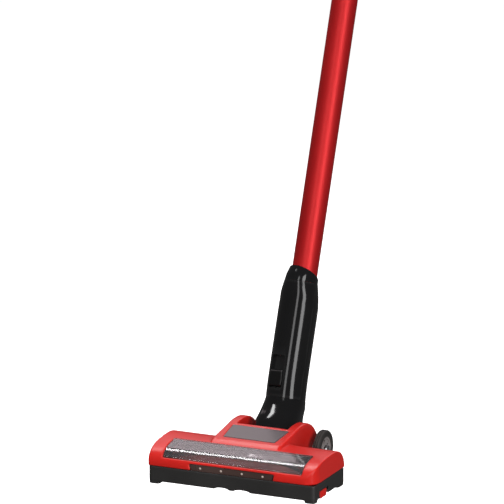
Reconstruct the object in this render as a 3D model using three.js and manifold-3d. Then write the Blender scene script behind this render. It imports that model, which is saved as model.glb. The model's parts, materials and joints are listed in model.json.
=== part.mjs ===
// A cordless upright stick vacuum cleaner: powered floor head, swivel neck, wand and hand unit.
// Millimetres, +Z up, +X to the head's right-hand end as seen from in front, +Y to the rear.
// The floor head is laid out from the middle of its front face on the floor. Everything above the
// neck's pivot is laid out upright in its own group, which then leans back by LEAN_DEG.
import * as THREE from "three";
import { mergeVertices } from "three/addons/utils/BufferGeometryUtils.js";
import Module from "manifold-3d";

const wasm = await Module();
wasm.setup();

// ---- Driving dimensions ----------------------------------------------------------------------
const GAP = 0.3; // between pieces that touch or slide
const HALF_W = 120; // half the floor head's width
const HEAD_DEPTH = 100; // of the wide part of the head
const SOLE_Z = 4; // underside of the base above the floor
const SPLIT_Z = 25; // joint line between the base and the top shell
const TOP_Z = 54; // crest of the top shell
const WALL = 2.6;
const PIVOT = { y: 158, z: 26 }; // the neck's recline axis, which is the wheels' axis too
const LEAN_DEG = 21;
const ARM_IN = 36.5; // the yoke arms beside the neck, inner and outer faces
const ARM_OUT = 50;
const POCKET_Y = 102; // front wall of the pocket that the neck's foot moves in
const AXLE_R = 4;
const WHEEL = { r: 26, rimR: 17, inner: 58, outer: 68 };
const BRUSH = { y: 36, z: 23.5, coreR: 13.5, tipR: 22, half: 99 };
const WINDOW_HALF = 100;
const BELT_X = [-113, -107];
const MOTOR = { y: 80, z: 30, r: 14 };

// Heights along the neck's own axis, from the pivot.
const SEAM_S = 60; // the neck turns on the elbow here
const SPIGOT_S = 71;
const WAND_FOOT_S = 98;
const NECK_TOP_S = 217.5;
const COLLAR_TOP_S = 240; // at the front; its top slopes down to the rear
const COLLAR_MID_S = 228.2;
const COLLAR_SLOPE = 0.47;
const NECK_TURN_DEG = -20; // the neck's button and sloping collar are turned this far on its axis
const WAND_R = 17.5;
const WAND_WALL = 1;
const WAND_TOP_S = 822;
const SOCKET_S = [770, 862];
const BODY_HALF = 21; // half the hand unit's body width
const BIN = { y: -70, r: 44, wall: 2.2, s0: 812, s1: 926 };
const HOUSING = { r: 46, s0: 928, s1: 1004, capTop: 1024 };
const GRIP = { y: 74, s: 948 }; // middle of the hand grip

// ---- Materials -------------------------------------------------------------------------------
const finish = (color, roughness, metalness = 0, opacity = 1) =>
  new THREE.MeshStandardMaterial({ color, roughness, metalness, opacity, transparent: opacity < 1 });
const RED = finish(0xc9201f, 0.3);
const CHARCOAL = finish(0x2c2d2e, 0.5);
const BLACK = finish(0x121213, 0.22);
const CLEAR = finish(0x9a9498, 0.08, 0, 0.4);
const SMOKE = finish(0x6a686c, 0.15);
const RUBBER = finish(0x26241f, 0.85);
const GREY = finish(0x8b8785, 0.45);
const STEEL = finish(0xb8babd, 0.3, 1);
const WAND_RED = finish(0xb5161b, 0.32, 0.6);
const BRISTLE = finish(0x3a3838, 0.9);
const BOARD = finish(0x1f4a33, 0.6);
const FILTER = finish(0xe6e2d8, 0.95);

// ---- Geometry helpers ------------------------------------------------------------------------
const X = new THREE.Vector3(1, 0, 0);
const Y = new THREE.Vector3(0, 1, 0);
const Z = new THREE.Vector3(0, 0, 1);

// The same shape in straight edges, with no two corners nearly on top of each other.
function faceted(shape, segments) {
  const clean = (points) =>
    points.filter((p, i) => p.distanceTo(points[(i + 1) % points.length]) > 0.01);
  const plain = new THREE.Shape(clean(shape.getPoints(segments)));
  plain.holes = shape.holes.map((hole) => new THREE.Path(clean(hole.getPoints(segments))));
  return plain;
}

function extruded(shape, depth, round, segments) {
  return new THREE.ExtrudeGeometry(faceted(shape, segments), {
    depth: depth - 2 * round,
    bevelEnabled: round > 0,
    bevelThickness: round,
    bevelSize: round,
    bevelOffset: -round,
    bevelSegments: 2,
  }).translate(0, 0, round);
}

// A shape drawn in (y, z), swept from x0 to x1.
function alongX(shape, x0, x1, round = 0, segments = 8) {
  return extruded(shape, x1 - x0, round, segments)
    .applyMatrix4(new THREE.Matrix4().makeBasis(Y, Z, X))
    .translate(x0, 0, 0);
}

// A shape drawn in (x, z), swept from y0 to y1.
function alongY(shape, y0, y1, round = 0, segments = 8) {
  return extruded(shape, y1 - y0, round, segments)
    .applyMatrix4(new THREE.Matrix4().makeBasis(X, Z, Y.clone().negate()))
    .translate(0, y1, 0);
}

// A shape drawn in (x, y), swept from z0 to z1.
function alongZ(shape, z0, z1, round = 0, segments = 8) {
  return extruded(shape, z1 - z0, round, segments).translate(0, 0, z0);
}

function polygon(points) {
  return new THREE.Shape(points.map(([u, v]) => new THREE.Vector2(u, v)));
}

function disc(u, v, r) {
  const shape = new THREE.Shape();
  shape.absarc(u, v, r, 0, 2 * Math.PI, false);
  return shape;
}

function ring(u, v, outer, inner) {
  const shape = disc(u, v, outer);
  shape.holes.push(disc(u, v, inner));
  return shape;
}

function box(x0, x1, y0, y1, z0, z1) {
  return new THREE.BoxGeometry(x1 - x0, y1 - y0, z1 - z0).translate(
    (x0 + x1) / 2,
    (y0 + y1) / 2,
    (z0 + z1) / 2,
  );
}

// A rectangle with rounded corners.
function pad(u0, u1, v0, v1, r) {
  const shape = new THREE.Shape();
  shape.moveTo(u0 + r, v0);
  shape.lineTo(u1 - r, v0);
  shape.absarc(u1 - r, v0 + r, r, -Math.PI / 2, 0, false);
  shape.lineTo(u1, v1 - r);
  shape.absarc(u1 - r, v1 - r, r, 0, Math.PI / 2, false);
  shape.lineTo(u0 + r, v1);
  shape.absarc(u0 + r, v1 - r, r, Math.PI / 2, Math.PI, false);
  shape.lineTo(u0, v0 + r);
  shape.absarc(u0 + r, v0 + r, r, Math.PI, 1.5 * Math.PI, false);
  return shape;
}

// A profile of [radius, height] points turned about an axis along Z through (x, y).
function turned(profile, x = 0, y = 0, segments = 28) {
  const points = profile.map(([r, s]) => new THREE.Vector2(r, s));
  return new THREE.LatheGeometry([...points, points[0].clone()], segments)
    .rotateX(Math.PI / 2)
    .translate(x, y, 0);
}

// Rings of points joined in order, closed at both ends. The rings turn anticlockwise seen from +Z.
function loft(rings) {
  const count = rings[0].length;
  const position = [];
  const index = [];
  for (const points of rings) for (const p of points) position.push(...p);
  for (let i = 0; i + 1 < rings.length; i += 1) {
    for (let k = 0; k < count; k += 1) {
      const a = i * count + k;
      const b = i * count + ((k + 1) % count);
      index.push(a, b, b + count, a, b + count, a + count);
    }
  }
  const last = (rings.length - 1) * count;
  for (let k = 1; k + 1 < count; k += 1) {
    index.push(0, k + 1, k);
    index.push(last, last + k, last + k + 1);
  }
  return new THREE.BufferGeometry()
    .setAttribute("position", new THREE.Float32BufferAttribute(position, 3))
    .setIndex(index);
}

// A ring at height s: half width w, from y = front to y = back, squarer as power grows.
function oval(s, w, front, back, power = 2.3, count = 28) {
  const round = (value) => Math.sign(value) * Math.abs(value) ** (2 / power);
  return Array.from({ length: count }, (_, k) => {
    const angle = (2 * Math.PI * k) / count;
    const y = (front + back) / 2 + ((back - front) / 2) * round(Math.sin(angle));
    return [w * round(Math.cos(angle)), y, s];
  });
}

function solid(geometry) {
  if (!geometry.isBufferGeometry) return geometry;
  const bare = geometry.index ? geometry.toNonIndexed() : geometry.clone();
  bare.deleteAttribute("normal");
  bare.deleteAttribute("uv");
  const merged = mergeVertices(bare, 1e-4);
  const vertProperties = merged.attributes.position.array;
  const triVerts = new Uint32Array(merged.index.array);
  return new wasm.Manifold(new wasm.Mesh({ numProp: 3, vertProperties, triVerts }));
}

const join = (...parts) => parts.map(solid).reduce((whole, part) => whole.add(part));
const cut = (whole, ...tools) =>
  tools.map(solid).reduce((left, tool) => left.subtract(tool), solid(whole));
const common = (a, b) => solid(a).intersect(solid(b));

function geometryOf(manifold) {
  const mesh = manifold.getMesh();
  const geometry = new THREE.BufferGeometry()
    .setAttribute("position", new THREE.BufferAttribute(mesh.vertProperties, 3))
    .setIndex(new THREE.BufferAttribute(mesh.triVerts, 1));
  geometry.computeVertexNormals();
  return geometry;
}

function piece(group, name, material, shape) {
  const geometry = shape.isBufferGeometry ? shape : geometryOf(shape);
  const mesh = new THREE.Mesh(geometry, material);
  mesh.name = name;
  group.add(mesh);
  return mesh;
}

const cylinderX = (r, x0, x1, y, z, segments = 10) => alongX(disc(y, z, r), x0, x1, 0, segments);
const cylinderY = (r, y0, y1, x, z, segments = 10) => alongY(disc(x, z, r), y0, y1, 0, segments);
const cylinderZ = (r, z0, z1, x, y, segments = 12) => alongZ(disc(x, y, r), z0, z1, 0, segments);

// ---- Floor head ------------------------------------------------------------------------------
// Side outline of the wide part of the head, shrunk inwards by inset.
function headOutline(inset, bottom) {
  const y = (value) => inset + (value * (HEAD_DEPTH - 2 * inset)) / HEAD_DEPTH;
  const z = (value) => SPLIT_Z + ((value - SPLIT_Z) * (TOP_Z - inset - SPLIT_Z)) / (TOP_Z - SPLIT_Z);
  const shape = new THREE.Shape();
  shape.moveTo(y(0), bottom);
  shape.lineTo(y(0), z(31));
  shape.bezierCurveTo(y(1), z(43), y(11), z(50.5), y(32), z(52.6));
  shape.bezierCurveTo(y(42), z(53.6), y(52), z(TOP_Z), y(62), z(TOP_Z));
  shape.bezierCurveTo(y(84), z(TOP_Z), y(97), z(47), y(HEAD_DEPTH), SPLIT_Z);
  shape.lineTo(y(HEAD_DEPTH), bottom);
  return shape;
}

// Side outline of the hump that carries the duct cover and ends in the two shoulders.
function humpOutline(inset, bottom) {
  const shape = new THREE.Shape();
  shape.moveTo(42 + inset, bottom);
  shape.lineTo(42 + inset, 54 - inset);
  shape.lineTo(50 + inset, 58.4 - inset);
  shape.lineTo(97, 64.6 - inset);
  shape.quadraticCurveTo(112, 67.8 - inset, 126, 67 - inset);
  shape.bezierCurveTo(146 - inset, 66.8 - inset, 163 - inset, 57, 172 - inset, 40);
  shape.quadraticCurveTo(175 - inset, 34, 175 - inset, SPLIT_Z);
  shape.lineTo(175 - inset, bottom);
  return shape;
}

// The wide part of the top shell seen from above: its front right corner is drawn well back.
function shellPlan(inset) {
  const side = HALF_W - inset;
  const shape = new THREE.Shape();
  shape.moveTo(-side, inset);
  shape.lineTo(side - 18, inset);
  shape.bezierCurveTo(side - 5, inset + 1, side - 1, inset + 8, side, inset + 18);
  shape.lineTo(side, 180);
  shape.lineTo(-side, 180);
  return shape;
}

function windowOutline() {
  return polygon([
    [4, 38.8],
    [11.6, 48.3],
    [40.6, 54.1],
    [40.9, 51.9],
    [12.9, 46.4],
    [6, 37.9],
  ]);
}

function topShell() {
  const bottom = SPLIT_Z + GAP / 2;
  const outer = join(
    common(alongX(headOutline(0, 10), -HALF_W, HALF_W, 2.5, 7), alongZ(shellPlan(0), 0, 80)),
    alongX(humpOutline(0, 10), -ARM_OUT, ARM_OUT, 4, 6),
  );
  const hollow = join(
    common(
      alongX(headOutline(WALL, bottom - 1), -HALF_W + WALL, HALF_W - WALL, 0, 6),
      alongZ(shellPlan(WALL), 0, 80),
    ),
    alongX(polygon([[45, 24], [45, 51], [52, 55], [96, 60.6], [99, 60.6], [99, 24]]), -46, 46),
  );
  const windowSpace = polygon([[-2, 37.5], [6.4, 37.5], [13.3, 46], [41.2, 51.5], [41.2, 66], [-2, 66]]);
  const neckSpace = box(-ARM_IN, ARM_IN, POCKET_Y, 180, 20, 80);
  const coverRecess = polygon([[-37.3, 57.7], [37.3, 57.7], [40.6, 97.3], [-40.6, 97.3]]);
  const lightRecess = polygon([[-58, 20], [58, 20], [61.5, 33.9], [-61.5, 33.9]]);
  return cut(
    outer,
    hollow,
    box(-130, 130, -10, 190, 0, bottom),
    alongX(windowSpace, -WINDOW_HALF - GAP, WINDOW_HALF + GAP),
    box(-WINDOW_HALF + 4, WINDOW_HALF - 4, 5, 37, 38, 60),
    neckSpace,
    common(alongZ(coverRecess, 50, 80), alongX(coverPlate(0.3), -45, 45)),
    alongY(lightRecess, -5, 7),
    cylinderX(AXLE_R + GAP, -60, 60, PIVOT.y, PIVOT.z),
    box(-30, 30, 90, 104, 20, 47),
  );
}

// The duct cover's thickness, as a side outline that is grown by margin.
function coverPlate(margin) {
  return polygon([
    [57 - margin, 57.4 - margin],
    [98 + margin, 62.6 - margin],
    [98 + margin, 75],
    [57 - margin, 75],
  ]);
}

function ductCover() {
  const outline = polygon([[-37, 58], [37, 58], [40.3, 97], [-40.3, 97]]);
  const plate = polygon([[50, 56.8], [105, 63.8], [105, 65.7], [50, 58.7]]);
  return common(alongZ(outline, 50, 80), alongX(plate, -45, 45));
}

function baseHousing() {
  const top = SPLIT_Z - GAP / 2;
  const corner = 7;
  const arm = new THREE.Shape();
  arm.moveTo(90, 7);
  arm.lineTo(160, 7);
  arm.quadraticCurveTo(175, 9, 175, top);
  arm.lineTo(90, top);
  const foot = (x, y) => alongZ(pad(x - 8, x + 8, y - 7, y + 7, 5), 0.4, SOLE_Z + 1, 0, 4);
  const footX = HALF_W - 8.3;
  const outer = join(
    alongZ(pad(-HALF_W, HALF_W, 0, HEAD_DEPTH, corner), SOLE_Z, top, 0, 5),
    alongX(arm, -ARM_OUT, ARM_OUT, 0, 5),
    foot(-footX, 7.5),
    foot(footX, 7.5),
    foot(-footX, HEAD_DEPTH - 7.5),
    foot(footX, HEAD_DEPTH - 7.5),
  );
  const floor = SOLE_Z + 4.4;
  const hollow = alongZ(pad(-117.4, 117.4, 2.6, 97.4, 4), floor, 30, 0, 4);
  const mouth = box(-103, 103, 12, 62, 0, floor + 1);
  const neckSpace = box(-ARM_IN, ARM_IN, POCKET_Y, 190, 0, 30);
  const arches = [-14, 15].map((x) => alongY(archOutline(x, 12, 3.4), -2, 13));
  const rollerWells = [-1, 1].map((side) => box(side * 70 - 11, side * 70 + 11, 71, 89, 0, floor + 1));
  const body = cut(
    outer,
    hollow,
    mouth,
    neckSpace,
    ...arches,
    ...rollerWells,
    box(-30, 30, 90, 104, 13, 30),
    cylinderX(AXLE_R + GAP, -60, 60, PIVOT.y, PIVOT.z),
    box(116.9, 130, 17.7, 46.6, 2, 13.6),
    box(-101, 101, 62.8, 65.4, 0, 8),
  );
  const rollerWalls = [-1, 1].map((side) =>
    cut(
      box(side * 70 - 13, side * 70 + 13, 69, 91, floor - 1.2, floor + 6.8),
      box(side * 70 - 11, side * 70 + 11, 71, 89, 0, floor + 5.2),
    ),
  );
  // Ribs beside the brush chamber carry the brush's bearings.
  const ribs = [-106, 102].map((x) =>
    cut(
      box(x, x + 3.6, 10, 64, floor - 0.5, top),
      cylinderX(8.4, x - 1, x + 5, BRUSH.y, BRUSH.z),
      box(x - 1, x + 5, BRUSH.y - 8.4, BRUSH.y + 8.4, BRUSH.z, 40),
    ),
  );
  return join(body, ...rollerWalls, ...ribs);
}

function archOutline(x, halfWidth, height) {
  const shape = new THREE.Shape();
  const low = x - halfWidth;
  const high = x + halfWidth;
  const crown = SOLE_Z + height;
  shape.moveTo(low, SOLE_Z - 3);
  shape.lineTo(low, SOLE_Z);
  shape.bezierCurveTo(low + 2, crown, high - 2, crown, high, SOLE_Z);
  shape.lineTo(high, SOLE_Z - 3);
  return shape;
}

// The curved wall behind and over the brush, with the mouth of the air duct in it.
function chamberLiner() {
  const inner = 24.6;
  const outer = 26.2;
  const from = THREE.MathUtils.degToRad(-20);
  const to = THREE.MathUtils.degToRad(78);
  const shape = new THREE.Shape();
  shape.absarc(BRUSH.y, BRUSH.z, outer, from, to, false);
  shape.absarc(BRUSH.y, BRUSH.z, inner, to, from, true);
  return cut(alongX(shape, -101.5, 101.5, 0, 12), box(-26, 26, 50, 70, 14.6, 39.4));
}

// One V-shaped row of bristles, wrapped round the core by turn radians from its middle to its ends.
function bristleRow(start, turn) {
  const steps = 24;
  const root = BRUSH.coreR + GAP;
  const halfAngle = 0.1;
  const rings = [];
  for (let i = 0; i <= steps; i += 1) {
    const x = -BRUSH.half + (2 * BRUSH.half * i) / steps;
    const angle = start + (turn * Math.abs(x)) / BRUSH.half;
    const at = (r, a) => [x, BRUSH.y + r * Math.cos(a), BRUSH.z + r * Math.sin(a)];
    const tip = halfAngle * 0.9;
    rings.push([
      at(root, angle - halfAngle),
      at(BRUSH.tipR, angle - tip),
      at(BRUSH.tipR, angle + tip),
      at(root, angle + halfAngle),
    ]);
  }
  return loft(rings);
}

// A toothed pulley on a shaft stub, along X.
function pulley(y, z, r, teeth, shaftR, x0, x1) {
  const shape = new THREE.Shape();
  for (let i = 0; i < teeth; i += 1) {
    const pitch = (2 * Math.PI) / teeth;
    for (const [share, radius] of [[0, r], [0.4, r], [0.5, r - 0.8], [0.9, r - 0.8]]) {
      const a = pitch * (i + share);
      const point = [y + radius * Math.cos(a), z + radius * Math.sin(a)];
      if (i === 0 && share === 0) shape.moveTo(...point);
      else shape.lineTo(...point);
    }
  }
  return join(alongX(shape, BELT_X[0], BELT_X[1]), cylinderX(shaftR, x0, x1, y, z, 6));
}

// The outline of a belt round two pulleys, given its distance from their pitch circles.
function beltOutline(distance) {
  const big = { ...BRUSH, r: 12 + distance };
  const small = { ...MOTOR, r: 6 + distance };
  const along = Math.atan2(small.z - big.z, small.y - big.y);
  const span = Math.hypot(small.z - big.z, small.y - big.y);
  const half = Math.acos((big.r - small.r) / span);
  const shape = new THREE.Shape();
  shape.absarc(small.y, small.z, small.r, along - half, along + half, false);
  shape.absarc(big.y, big.z, big.r, along + half, along - half + 2 * Math.PI, false);
  return shape;
}

function driveBelt() {
  const shape = beltOutline(1.8);
  shape.holes.push(beltOutline(GAP));
  return alongX(shape, BELT_X[0] + 0.5, BELT_X[1] - 0.5, 0, 14);
}

// The bracket at the brush's right-hand end that comes off with the bearing in it.
function endCap() {
  return cut(
    join(box(110.2, 116.6, 14, 58, 9, 24.4), cylinderX(10, 110.2, 114, BRUSH.y, BRUSH.z)),
    cylinderX(4.3, 100, 120, BRUSH.y, BRUSH.z),
  );
}

function ledBoard() {
  const board = box(-54, 54, 8, 9.4, 26.4, 33);
  const leds = [-46.5, -15.5, 15.5, 46.5].map((x) => cylinderY(2, 4.2, 8.4, x, 29.4, 4));
  return join(board, ...leds);
}

function buildHead(head) {
  piece(head, "base_housing", CHARCOAL, baseHousing());
  piece(head, "top_shell", RED, topShell());
  piece(head, "brush_window", CLEAR, alongX(windowOutline(), -WINDOW_HALF, WINDOW_HALF));
  piece(head, "duct_cover", SMOKE, ductCover());
  const light = polygon([[-57.5, 25.4], [57.5, 25.4], [60.6, 33.5], [-60.6, 33.5]]);
  piece(head, "light_strip", SMOKE, alongY(light, 0.8, 3));
  piece(head, "led_board", BOARD, ledBoard());
  piece(head, "chamber_liner", CHARCOAL, chamberLiner());
  const duct = pad(-28, 28, 13.4, 46, 3);
  duct.holes.push(pad(-26, 26, 15.4, 44, 2));
  piece(head, "air_duct", CHARCOAL, alongY(duct, 62.6, 103, 0, 3));
  piece(head, "wiper_lip", RUBBER, box(-100, 100, 63.1, 65.1, 0.8, 7.7));
  piece(head, "drive_belt", RUBBER, driveBelt());
  piece(head, "left_bearing", STEEL, alongX(ring(BRUSH.y, BRUSH.z, 8, 4.3), -106, -102.4, 0, 8));
  piece(head, "right_bearing", STEEL, alongX(ring(BRUSH.y, BRUSH.z, 8, 4.3), 102, 105.6, 0, 8));
  piece(head, "brush_end_cap", CHARCOAL, endCap());
  piece(head, "brush_motor", STEEL, cylinderX(MOTOR.r, -100, -52, MOTOR.y, MOTOR.z));
  piece(head, "motor_pulley", STEEL, pulley(MOTOR.y, MOTOR.z, 6, 12, 1.6, -113, -100.3));
  piece(head, "brush_core", CHARCOAL, brushCore());
  for (const [i, start] of [0.6, 0.6 + Math.PI].entries()) {
    piece(head, `bristle_row_${i + 1}`, BRISTLE, bristleRow(start, 1.9));
  }
  const brushPulley = cut(pulley(BRUSH.y, BRUSH.z, 12, 24, 7, -113, -107), boreOfPulley());
  piece(head, "brush_pulley", CHARCOAL, brushPulley);
  piece(head, "brush_latch", RED, alongX(pad(19, 40, 3, 13, 2), 117.4, HALF_W, 0, 3));
  for (const side of [-1, 1]) buildWheel(head, side);
}

const boreOfPulley = () => cylinderX(AXLE_R + GAP, -120, -100, BRUSH.y, BRUSH.z);

function brushCore() {
  return join(
    cylinderX(BRUSH.coreR, -BRUSH.half, BRUSH.half, BRUSH.y, BRUSH.z, 12),
    cylinderX(AXLE_R, -113, 114, BRUSH.y, BRUSH.z, 8),
  );
}

// One rear wheel with its axle, which is the neck's pivot pin too, and the roller in front of it.
function buildWheel(head, side) {
  const hand = side < 0 ? "left" : "right";
  const span = (a, b) => [Math.min(side * a, side * b), Math.max(side * a, side * b)];
  const wheelRing = (outer, inner, a, b, segments) =>
    alongX(ring(PIVOT.y, PIVOT.z, outer, inner), ...span(a, b), 0, segments);
  const tyre = wheelRing(WHEEL.r, WHEEL.rimR + GAP, WHEEL.inner, WHEEL.outer, 16);
  piece(head, `tyre_${hand}`, RUBBER, tyre);
  const holes = Array.from({ length: 5 }, (_, k) => {
    const a = (2 * Math.PI * k) / 5 + 0.3;
    return cylinderX(2.8, -80, 80, PIVOT.y + 11 * Math.cos(a), PIVOT.z + 11 * Math.sin(a), 4);
  });
  const hub = cut(
    join(
      wheelRing(WHEEL.rimR, AXLE_R + GAP, WHEEL.inner + 1, WHEEL.outer - 1, 10),
      wheelRing(7.5, AXLE_R + GAP, ARM_OUT + 0.6, WHEEL.inner + 2, 10),
    ),
    ...holes,
  );
  piece(head, `wheel_hub_${hand}`, GREY, hub);
  const axle = join(
    cylinderX(AXLE_R, ...span(28, WHEEL.outer + 1), PIVOT.y, PIVOT.z, 8),
    cylinderX(6.5, ...span(WHEEL.outer + 0.4, WHEEL.outer + 3), PIVOT.y, PIVOT.z, 8),
  );
  piece(head, `pivot_axle_${hand}`, STEEL, axle);
  const roller = join(
    cylinderX(6.5, ...span(62, 78), 80, 6.8, 6),
    cylinderX(2, ...span(59.3, 80.7), 80, 6.8, 4),
  );
  piece(head, `front_roller_${hand}`, GREY, roller);
}

// ---- Neck and wand, along their own axis -------------------------------------------------------
// The foot of the neck: an open-fronted elbow with an ear on each side for the pivot axles.
function neckElbow() {
  const outer = loft([
    oval(-21.5, 34, -14, 8, 5),
    oval(-17, 35, -33, 15, 5),
    oval(-9, 35, -43, 20, 5),
    oval(2, 34.5, -46.5, 21, 4.6),
    oval(12, 33.4, -46.5, 20.8, 3.2),
    oval(22, 31.2, -45, 20.6, 2.6),
    oval(32, 29, -41, 21, 2.4),
    oval(42, 27.8, -34.5, 22.6, 2.35),
    oval(51, 27.2, -29.5, 25.2, 2.3),
    oval(SEAM_S - GAP / 2, 26.8, -27.6, 26, 2),
  ]);
  return cut(
    join(outer, cylinderZ(22, 50, SPIGOT_S, 0, 0, 14)),
    cylinderZ(18.6, 2, SPIGOT_S + 5, 0, 0, 12),
    box(-26, 26, -60, 4, -30, 15),
    cylinderX(AXLE_R + GAP, -40, 40, 0, 0, 8),
  );
}

// Everything above the collar's sloping top, which is COLLAR_MID_S high on the neck's axis.
function aboveCollar() {
  const [front, rear] = [-60, 60].map((y) => COLLAR_MID_S - COLLAR_SLOPE * y);
  return alongX(polygon([[-60, front], [60, rear], [60, 300], [-60, 300]]), -40, 40);
}

function neckBody() {
  const outer = loft([
    oval(SEAM_S + GAP / 2, 26.8, -27.6, 26, 2),
    oval(90, 26.2, -28.2, 24.2, 2.1),
    oval(175, 26.2, -28.2, 24.2, 2.1),
    oval(190, 25.8, -28, 23.2, 2.1),
    oval(203, 25, -28, 20.8, 2.1),
    oval(NECK_TOP_S, 21.4, -27, 19, 2.1),
  ]);
  return cut(
    outer,
    cylinderZ(22 + GAP, 50, SPIGOT_S + 3.6, 0, 0, 14),
    cylinderZ(16, 60, WAND_FOOT_S - GAP, 0, 0, 12),
    cylinderZ(WAND_R + GAP, WAND_FOOT_S - GAP, 230, 0, 0, 12),
    box(-11.6, 11.6, -40, -22, 72, 116),
    box(-11.6, 11.6, -40, -19, 74, 96.4),
    aboveCollar(),
  );
}

function neckButton() {
  return loft([
    oval(74.4, 10.2, -26, -22.6, 6, 16),
    oval(76, 10.8, -27.4, -22.6, 6, 16),
    oval(93, 11.2, -27.8, -22.6, 6, 16),
    oval(95.8, 11.2, -26, -22.6, 6, 16),
  ]);
}

function buildNeck(neck) {
  piece(neck, "neck_elbow", BLACK, neckElbow());
  piece(neck, "swivel_seal", RUBBER, alongZ(ring(0, 0, 21.6, 19), SPIGOT_S + GAP, SPIGOT_S + 3, 0, 10));
  const inPlace = (shape) => solid(shape).rotate([0, 0, NECK_TURN_DEG]);
  const front = cut(neckBody(), box(-40, 40, -GAP / 2, 60, 0, 300));
  const rear = cut(neckBody(), box(-40, 40, -60, GAP / 2, 0, 300));
  piece(neck, "neck_front_shell", BLACK, inPlace(front));
  piece(neck, "neck_rear_shell", BLACK, inPlace(rear));
  piece(neck, "neck_button", BLACK, inPlace(neckButton()));
  const collar = cut(
    loft([
      oval(NECK_TOP_S + GAP, 21.2, -26.9, 19, 2.1),
      oval(226, 20.8, -25.2, 18.9, 2.05),
      oval(234, 19.8, -22, 18.9, 2),
      oval(COLLAR_TOP_S, 19, -20, 18.8, 2),
    ]),
    cylinderZ(WAND_R + GAP, 210, 250, 0, 0, 12),
    aboveCollar(),
  );
  piece(neck, "neck_collar", BLACK, inPlace(collar));
  const wand = ring(0, 0, WAND_R, WAND_R - WAND_WALL);
  piece(neck, "wand_tube", WAND_RED, alongZ(wand, WAND_FOOT_S, WAND_TOP_S, 0, 12));
  piece(neck, "wand_wire_duct", CHARCOAL, alongZ(pad(-5, 5, 11.9, 15.3, 1), 101, 819, 0, 3));
}

// ---- Hand unit, along the same axis ------------------------------------------------------------
// Side outline of the body in (y, s): spine, motor saddle, grip and battery foot round a finger gap.
function bodyOutline() {
  const shape = new THREE.Shape();
  shape.moveTo(-25.6, 862.3);
  shape.lineTo(92, 862.3);
  shape.quadraticCurveTo(104, 862.3, 102, 878);
  shape.lineTo(82, 1000);
  shape.quadraticCurveTo(78, 1024, 54, 1024);
  shape.lineTo(-38, 1024);
  shape.lineTo(-38, 928.3);
  shape.lineTo(-25.6, 928.3);
  shape.holes.push(fingerGap(0));
  return shape;
}

function fingerGap(grow) {
  const hole = new THREE.Shape();
  hole.moveTo(30 - grow, 894 - grow);
  hole.lineTo(66, 896 - grow);
  hole.quadraticCurveTo(72 + grow, 896 - grow, 71 + grow, 903);
  hole.lineTo(58 + grow, 980);
  hole.quadraticCurveTo(56 + grow, 992 + grow, 44, 992 + grow);
  hole.lineTo(36, 992 + grow);
  hole.quadraticCurveTo(24 - grow, 992 + grow, 24 - grow, 978);
  hole.lineTo(24 - grow, 902);
  hole.quadraticCurveTo(24 - grow, 895, 30 - grow, 894 - grow);
  return hole;
}

function bodyHollow() {
  const shape = polygon([
    [-23, 864.9],
    [94, 864.9],
    [99.2, 873],
    [79.6, 998],
    [73, 1014],
    [54, 1021.4],
    [-40, 1021.4],
    [-40, 930.9],
    [-23, 930.9],
  ]);
  shape.holes.push(fingerGap(2.6));
  return shape;
}

function bodyShell(side) {
  const span = side < 0 ? [-BODY_HALF, -GAP / 2] : [GAP / 2, BODY_HALF];
  const inner = side < 0 ? [-BODY_HALF + WALL, 2] : [-2, BODY_HALF - WALL];
  const whole = alongX(bodyOutline(), -BODY_HALF, BODY_HALF, 5, 5);
  return cut(
    common(whole, box(...span, -60, 120, 850, 1040)),
    alongX(bodyHollow(), ...inner, 0, 4),
    cylinderZ(HOUSING.r + GAP, 900, 1040, 0, BIN.y, 14),
    cylinderZ(16.4, 850, 880, 0, 0, 8),
    box(-12.4, 12.4, -30, -18, 872, 898),
    box(-7.4, 7.4, 48, 78, 930, 968),
    cylinderZ(6.6, 1016, 1030, 0, 10, 8),
  );
}

function inletSocket() {
  const [low, high] = SOCKET_S;
  const outer = turned([[0, low], [21, low], [23.4, low + 6], [23.4, high - 12], [22, high], [0, high]]);
  return cut(
    outer,
    cylinderZ(WAND_R + GAP, 760, WAND_TOP_S + GAP, 0, 0),
    cylinderZ(16, 800, 870, 0, 0),
    box(-7.4, 7.4, -30, -19.6, 782, 804),
  );
}

function dustBin() {
  const { y, r, wall, s0, s1 } = BIN;
  const tube = alongZ(ring(0, y, r, r - wall), s0, s1, 0, 16);
  const port = box(-12, 12, y + r - 12, y + r + 4, 873, 897);
  const ears = [-1, 1].map((side) =>
    cut(
      box(side * 10 - 4, side * 10 + 4, y - r - 5, y - r + 2, s0, s0 + 7),
      cylinderX(1.6, -20, 20, y - r - 2.4, s0 + 2.4, 5),
    ),
  );
  return cut(join(tube, ...ears), port);
}

function binFlap() {
  const { y, r, s0 } = BIN;
  const knuckle = join(
    box(-5.6, 5.6, y - r - 4.6, y - r + 4, s0 - 5, s0 - 0.4),
    cylinderX(2.4, -5.6, 5.6, y - r - 2.4, s0 + 2.4, 6),
    box(-5.6, 5.6, y - r - 4.8, y - r - GAP, s0 - 3, s0 + 2.4),
  );
  const lid = turned([[0, s0 - 7], [36, s0 - 7], [r, s0 - 4], [r, s0 - GAP], [0, s0 - GAP]], 0, y);
  return cut(join(lid, knuckle), cylinderX(1.6, -20, 20, y - r - 2.4, s0 + 2.4, 5));
}

function meshScreen() {
  const cone = [[0, 846], [10, 848], [22, 860], [24, 918], [34, 926.3]];
  const outer = [...cone, [43.6, 926.3], [43.6, 927.7], [0, 927.7]];
  const inner = [[0, 850], [8, 851], [19.6, 862], [21.6, 919], [32, 928], [0, 928]];
  return cut(turned(outer, 0, BIN.y, 24), turned(inner, 0, BIN.y, 24));
}

function motorHousing() {
  const { r, s0, s1 } = HOUSING;
  return alongZ(ring(0, BIN.y, r, r - WALL), s0, s1, 0, 16);
}

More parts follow.
